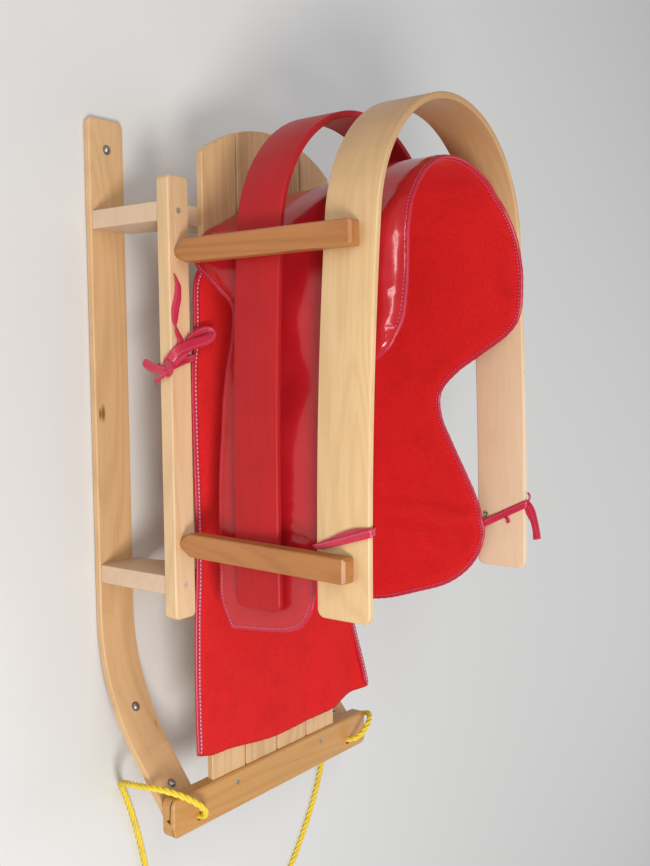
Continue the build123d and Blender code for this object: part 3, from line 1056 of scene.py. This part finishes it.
# name: (width, where its stitches run, rows of x, y, z, facing and share of the width)
STRAPS = {
    # Right tie: up inside the upper hoop from the flap, over its edge, to a point outside
    "right_tie_inside": (8.5, 0.5, [
        (122, -158.5, 332, IN, 1), (122.8, -160, 350, IN, 1), (124.5, -161.5, 380, IN, 1),
        (127, -163, 400, IN, 1), (128, -165.5, 405.2, (0, 0.7, 0.7), 1),
        (128.6, -170, 406.6, UP, 1), (129.3, -175, 406.2, (0, -0.6, 0.8), 1),
        (129.6, -177.4, 402, OUT, 0.9),
    ]),
    "right_tie_back": (8.5, -0.4, [
        (126.6, -176.4, 407.3, OUT, 0.7), (127.5, -177.2, 398.7, OUT, 0.75),
        (129.5, -177.2, 386.3, OUT, 0.75), (134.7, -177.2, 371.2, OUT, 0.7),
        (141.4, -177.2, 355.8, OUT, 0.6), (146.5, -177, 341.3, OUT, 0.4),
    ]),
    "right_tie_front": (8.5, 0.5, [
        (127.5, -171, 408.2, UP, 1), (128.4, -176.5, 408.5, (0, -0.8, 0.6), 1),
        (130.9, -178.8, 401, OUT, 1.05), (135, -178.8, 387.4, OUT, 1),
        (139.4, -178.8, 373.6, OUT, 0.95), (143.4, -178.8, 359.6, OUT, 0.9),
        (147.3, -178.6, 346.4, OUT, 0.8), (148.1, -178.2, 338.9, OUT, 0.55),
        (147.9, -177.8, 334.7, OUT, 0.15),
    ]),
    # Left tie: up from the wing's rim, inside the left arm, to a knot with a forked tail
    "left_tie": (9.4, -0.45, [
        (173.5, 158, 341, OUT, 1), (169, 161.5, 350, OUT, 1), (162, 166, 362.5, OUT, 1),
        (153.4, 166.8, 379.7, OUT, 1), (145.7, 167, 395.2, OUT, 1), (140.8, 167.4, 404.8, OUT, 1),
        (139, 170, 408.6, (0, -0.6, 0.8), 0.95),
    ]),
    "left_tie_tail": (8.4, 0.5, [
        (137.5, 169.5, 405, (0, -0.9, 0.4), 0.8), (141, 168.4, 411, OUT, 0.95),
        (148, 168, 415.4, OUT, 1), (159.2, 168, 419.4, OUT, 0.85), (171.7, 168, 422.2, OUT, 0.85),
        (183, 168, 424.4, OUT, 0.8),
    ]),
    "left_tie_under_tail": (7.4, -0.5, [
        (140, 169.4, 406.5, (0, -0.9, 0.4), 0.8), (147, 169, 408.4, OUT, 0.95),
        (154, 169, 411.6, OUT, 0.95), (163, 169, 416, OUT, 0.8), (174, 169, 418.6, OUT, 0.8),
        (184.5, 169, 419.2, OUT, 0.8),
    ]),
    "left_tie_end": (5.5, 0.5, [
        (138, 172.5, 406.5, UP, 1), (134, 173, 409, UP, 1), (130, 173, 409.6, UP, 0.9),
        (126, 172.5, 407, UP, 0.7),
    ]),
    "left_tie_nub": (4.6, 0.5, [
        (158.5, 166, 379, OUT, 0.8), (161.5, 165.4, 383, OUT, 1), (164, 165.4, 384, OUT, 1),
        (165, 165.8, 381, OUT, 0.7),
    ]),
    # The seat's right tie: from the pad's edge over the right rail, in a bow at its outer edge
    "rail_tie": (8.0, 0.5, [
        (-48, -149.5, 140.5, UP, 1), (-48.7, -154, 146.2, UP, 1), (-47.6, -160, 145.7, UP, 1),
        (-45.4, -170, 146, FACING, 1), (-42.6, -180, 146.4, FACING, 1),
        (-39.3, -189, 145.9, FACING, 1), (-37.1, -193, 143.5, OUT, 1),
    ]),
    "rail_tie_under": (7.5, 0.5, [
        (-36, -192, 139, OUT, 1), (-37, -191.2, 130, OUT, 1),
        (-38, -189, 120.5, (0, -0.6, -0.8), 1), (-39, -181, 118.4, (0, 0, -1), 1),
        (-40, -165, 118.4, (0, 0, -1), 1),
    ]),
    "bow_loop": (11, 0.5, [
        (-39.3, -192.5, 139.8, OUT, 0.9), (-46.1, -190, 142.3, FACING, 1),
        (-53.9, -186, 147.2, FACING, 1.05), (-60.1, -176, 150.8, FACING, 1.1),
        (-64.5, -163, 154, FACING, 1.1), (-67.6, -151, 156.6, FACING, 1.1),
        (-71.6, -140, 157.3, FACING, 1), (-76.5, -134.5, 156.9, (0, -0.4, 0.9), 0.85),
        (-79.9, -137, 152.2, FACING, 0.95), (-78.6, -145, 150.3, FACING, 1),
        (-75, -155, 150.3, FACING, 1), (-70.3, -163, 150.1, FACING, 1),
        (-63, -169, 150.3, FACING, 1), (-55, -175, 149.7, FACING, 1.05),
        (-47.7, -182, 147, FACING, 1.05), (-40.4, -190.5, 143.4, FACING, 1),
    ]),
    "bow_drop": (8.6, 0.5, [
        (-34.8, -193.5, 140.7, OUT, 0.9), (-35.8, -193.5, 131, OUT, 1),
        (-38, -193.3, 119.4, OUT, 1), (-41.8, -193, 110.1, OUT, 1),
        (-43.9, -192.6, 104.6, OUT, 0.9), (-41.6, -192.4, 102.6, OUT, 0.75),
        (-38.1, -193, 110, OUT, 0.9), (-35.1, -193.8, 123.2, OUT, 1),
        (-33.5, -194, 136.4, OUT, 0.9),
    ]),
    "bow_short_end": (6.2, 0.5, [
        (-34.3, -194, 141.2, (0, -0.9, 0.4), 1), (-29.8, -194, 137.9, OUT, 0.7),
        (-25.8, -193.8, 130.2, OUT, 0.7), (-22.9, -193.6, 124.2, OUT, 0.9),
        (-20.9, -193.4, 120.6, OUT, 0.9),
    ]),
    "bow_knot": (8.6, 0.5, [
        (-45, -191, 133.6, OUT, 0.8), (-41, -194, 143.4, OUT, 1),
        (-35.6, -195.4, 147.6, (0, -0.9, 0.4), 1.05), (-31.5, -194, 144.4, OUT, 1),
        (-30.1, -191, 137.2, OUT, 0.8),
    ]),
    "bow_long_end": (8.4, -0.4, [
        (-58, -184, 148, FACING, 0.9), (-63, -178, 147, (0, -0.5, 0.9), 0.9),
        (-69.8, -177.4, 146, (0, -0.2, 1), 0.95), (-77, -181, 145.6, (0, 0.2, 1), 0.9),
        (-84.3, -184, 146.4, (0, 0.55, 0.83), 0.7), (-92, -185, 146.4, (0, -0.2, 1), 0.95),
        (-103.5, -183, 145.2, (0, -0.4, 0.9), 1.15), (-115, -179.3, 145, (0, -0.4, 0.9), 1.1),
        (-127.4, -177.6, 144.8, (0, -0.3, 0.95), 0.95), (-136.3, -180, 144.8, UP, 0.6),
        (-143, -183.5, 144.8, UP, 0.12),
    ]),
}
for name, (width, seam_at, rows) in STRAPS.items():
    strap(name, rows, width, seam_at)


# Screws, bolts and the left tie's ring

HEAD_RINGS, HEAD_SIDES, HEAD_SUNK = 7, 28, 0.02
CROSS_HALF, CROSS_REACH = 0.15, 0.68  # of a head's radius
RAIL_SCREWS, RAIL_SCREW_Y = (-215, 215), 173
BAR_SCREW_X, BAR_SCREWS = 482, (-82, 88)
BOLTS, BOLT_Y = (-301.5, 383, 466), 161.5
WASHER_HIGH = 0.6
RING_PLACE, RING_RADIUS, RING_THICK = (157.5, 165.2, 351.8), 2.7, 0.8


def surface(node, x, y):
    """The highest point of a node at this x and y, and the direction it faces."""
    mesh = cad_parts[node].data
    corners = [v.co for v in mesh.vertices]
    tree = BVHTree.FromPolygons(corners, [tuple(face.vertices) for face in mesh.polygons])
    place, normal, _, _ = tree.ray_cast(at(x, y, 400), Vector((0, 0, -1)))
    return place, normal


def head(place, normal, radius, dome, recess):
    """A domed head with a cross cut in it, as vertices and faces."""
    side = normal.orthogonal().normalized()
    other = normal.cross(side)
    vertices = [place + normal * ((dome - recess) / 1000)]
    for k in range(1, HEAD_RINGS + 1):
        reach = radius * k / HEAD_RINGS
        for a in turns(HEAD_SIDES):
            x, y = reach * cos(a), reach * sin(a)
            rise = dome * max(0.0, 1 - (k / HEAD_RINGS) ** 2.6)
            if min(abs(x), abs(y)) < radius * CROSS_HALF and reach < radius * CROSS_REACH:
                rise -= recess
            vertices.append(place + (side * x + other * y + normal * (rise - HEAD_SUNK)) / 1000)
    faces = [(0, 1 + n, 1 + (n + 1) % HEAD_SIDES) for n in range(HEAD_SIDES)]
    for k in range(HEAD_RINGS - 1):
        for n in range(HEAD_SIDES):
            m = (n + 1) % HEAD_SIDES
            a, b = 1 + k * HEAD_SIDES, 1 + (k + 1) * HEAD_SIDES
            faces.append((a + n, b + n, b + m, a + m))
    return vertices, faces


def make_fasteners():
    screws = []
    for x in RAIL_SCREWS:
        for side, way in SIDES:
            place, normal = surface(f"side_rail_{side}", x, way * RAIL_SCREW_Y)
            screws.append(head(place, normal, 3.6, dome=0.4, recess=0.3))
    mesh_piece("deck_screws", *joined(screws), [PALE_STEEL], slot="steel")
    screws = []
    for y in BAR_SCREWS:
        place, normal = surface("front_bar", BAR_SCREW_X, y)
        screws.append(head(place, normal, 3.4, dome=0.7, recess=0.5))
    mesh_piece("bar_screws", *joined(screws), [STEEL], slot="steel")
    bolts = []
    for x in BOLTS:
        for side, way in SIDES:
            place, normal = surface(f"runner_{side}", x, way * BOLT_Y)
            bolts.append(head(place, normal, 6.2, dome=0.7, recess=0))
            place += normal * (WASHER_HIGH / 1000)
            bolts.append(head(place, normal, 4.6, dome=3.0, recess=0))
    mesh_piece("runner_bolts", *joined(bolts), [STEEL], slot="steel")
    rings = []
    for a in turns(32):
        out = Vector((cos(a), 0, sin(a)))
        centre = Vector(RING_PLACE) + out * RING_RADIUS
        ring = circle(centre, out, Vector((0, 1, 0)), RING_THICK, 10)
        rings.append([at(*p) for p in ring])
    rings.append(rings[0])
    mesh_piece("tie_ring", *tube_rings(rings, closed_ends=False), [STEEL], slot="steel")


make_fasteners()


# Floor and light


FLOOR_REACH = 6.0


def make_floor():
    mesh = bpy.data.meshes.new("floor")
    corners = [(-1, -1), (1, -1), (1, 1), (-1, 1)]
    places = [(x * FLOOR_REACH, y * FLOOR_REACH, 0) for x, y in corners]
    mesh.from_pydata(places, [], [(0, 1, 2, 3)])
    material, _, shader = new_material("floor_paint")
    feed(shader, {"Base Color": srgb(226, 226, 224), "Roughness": 0.8})
    mesh.materials.append(material)
    floor_piece = added("floor", mesh)


def area_light(name, place, aim, size, power, tint=(1, 1, 1), height=None):
    """A round lamp, or a strip where it has a height."""
    data = bpy.data.lights.new(name, "AREA")
    data.shape = "RECTANGLE" if height else "DISK"
    data.size = size
    data.size_y = height or size
    data.energy = power
    data.color = tint
    lamp = added(name, data)
    turn = (Vector(aim) - Vector(place)).to_track_quat("-Z", "Y")
    lamp.matrix_world = Matrix.Translation(place) @ turn.to_matrix().to_4x4()


def set_light():
    area_light("key", (0.72, -1.4, 1.85), (0, 0, 0.2), 0.7, 32, (1.0, 0.98, 0.95))
    area_light("fill", (-1.15, -1.6, 2.1), (-0.2, 0, 0.35), 1.8, 16, height=0.14)
    area_light("rim", (0.6, 2.2, 1.8), (0, 0, 0.2), 1.6, 12)
    world = bpy.data.worlds.new("room")
    bpy.context.scene.world = world
    world.use_nodes = True
    background = world.node_tree.nodes["Background"]
    feed(background, {"Color": (0.95, 0.96, 1.0, 1), "Strength": 0.4})
    bpy.context.scene.view_settings.view_transform = "Standard"


make_floor()
set_light()
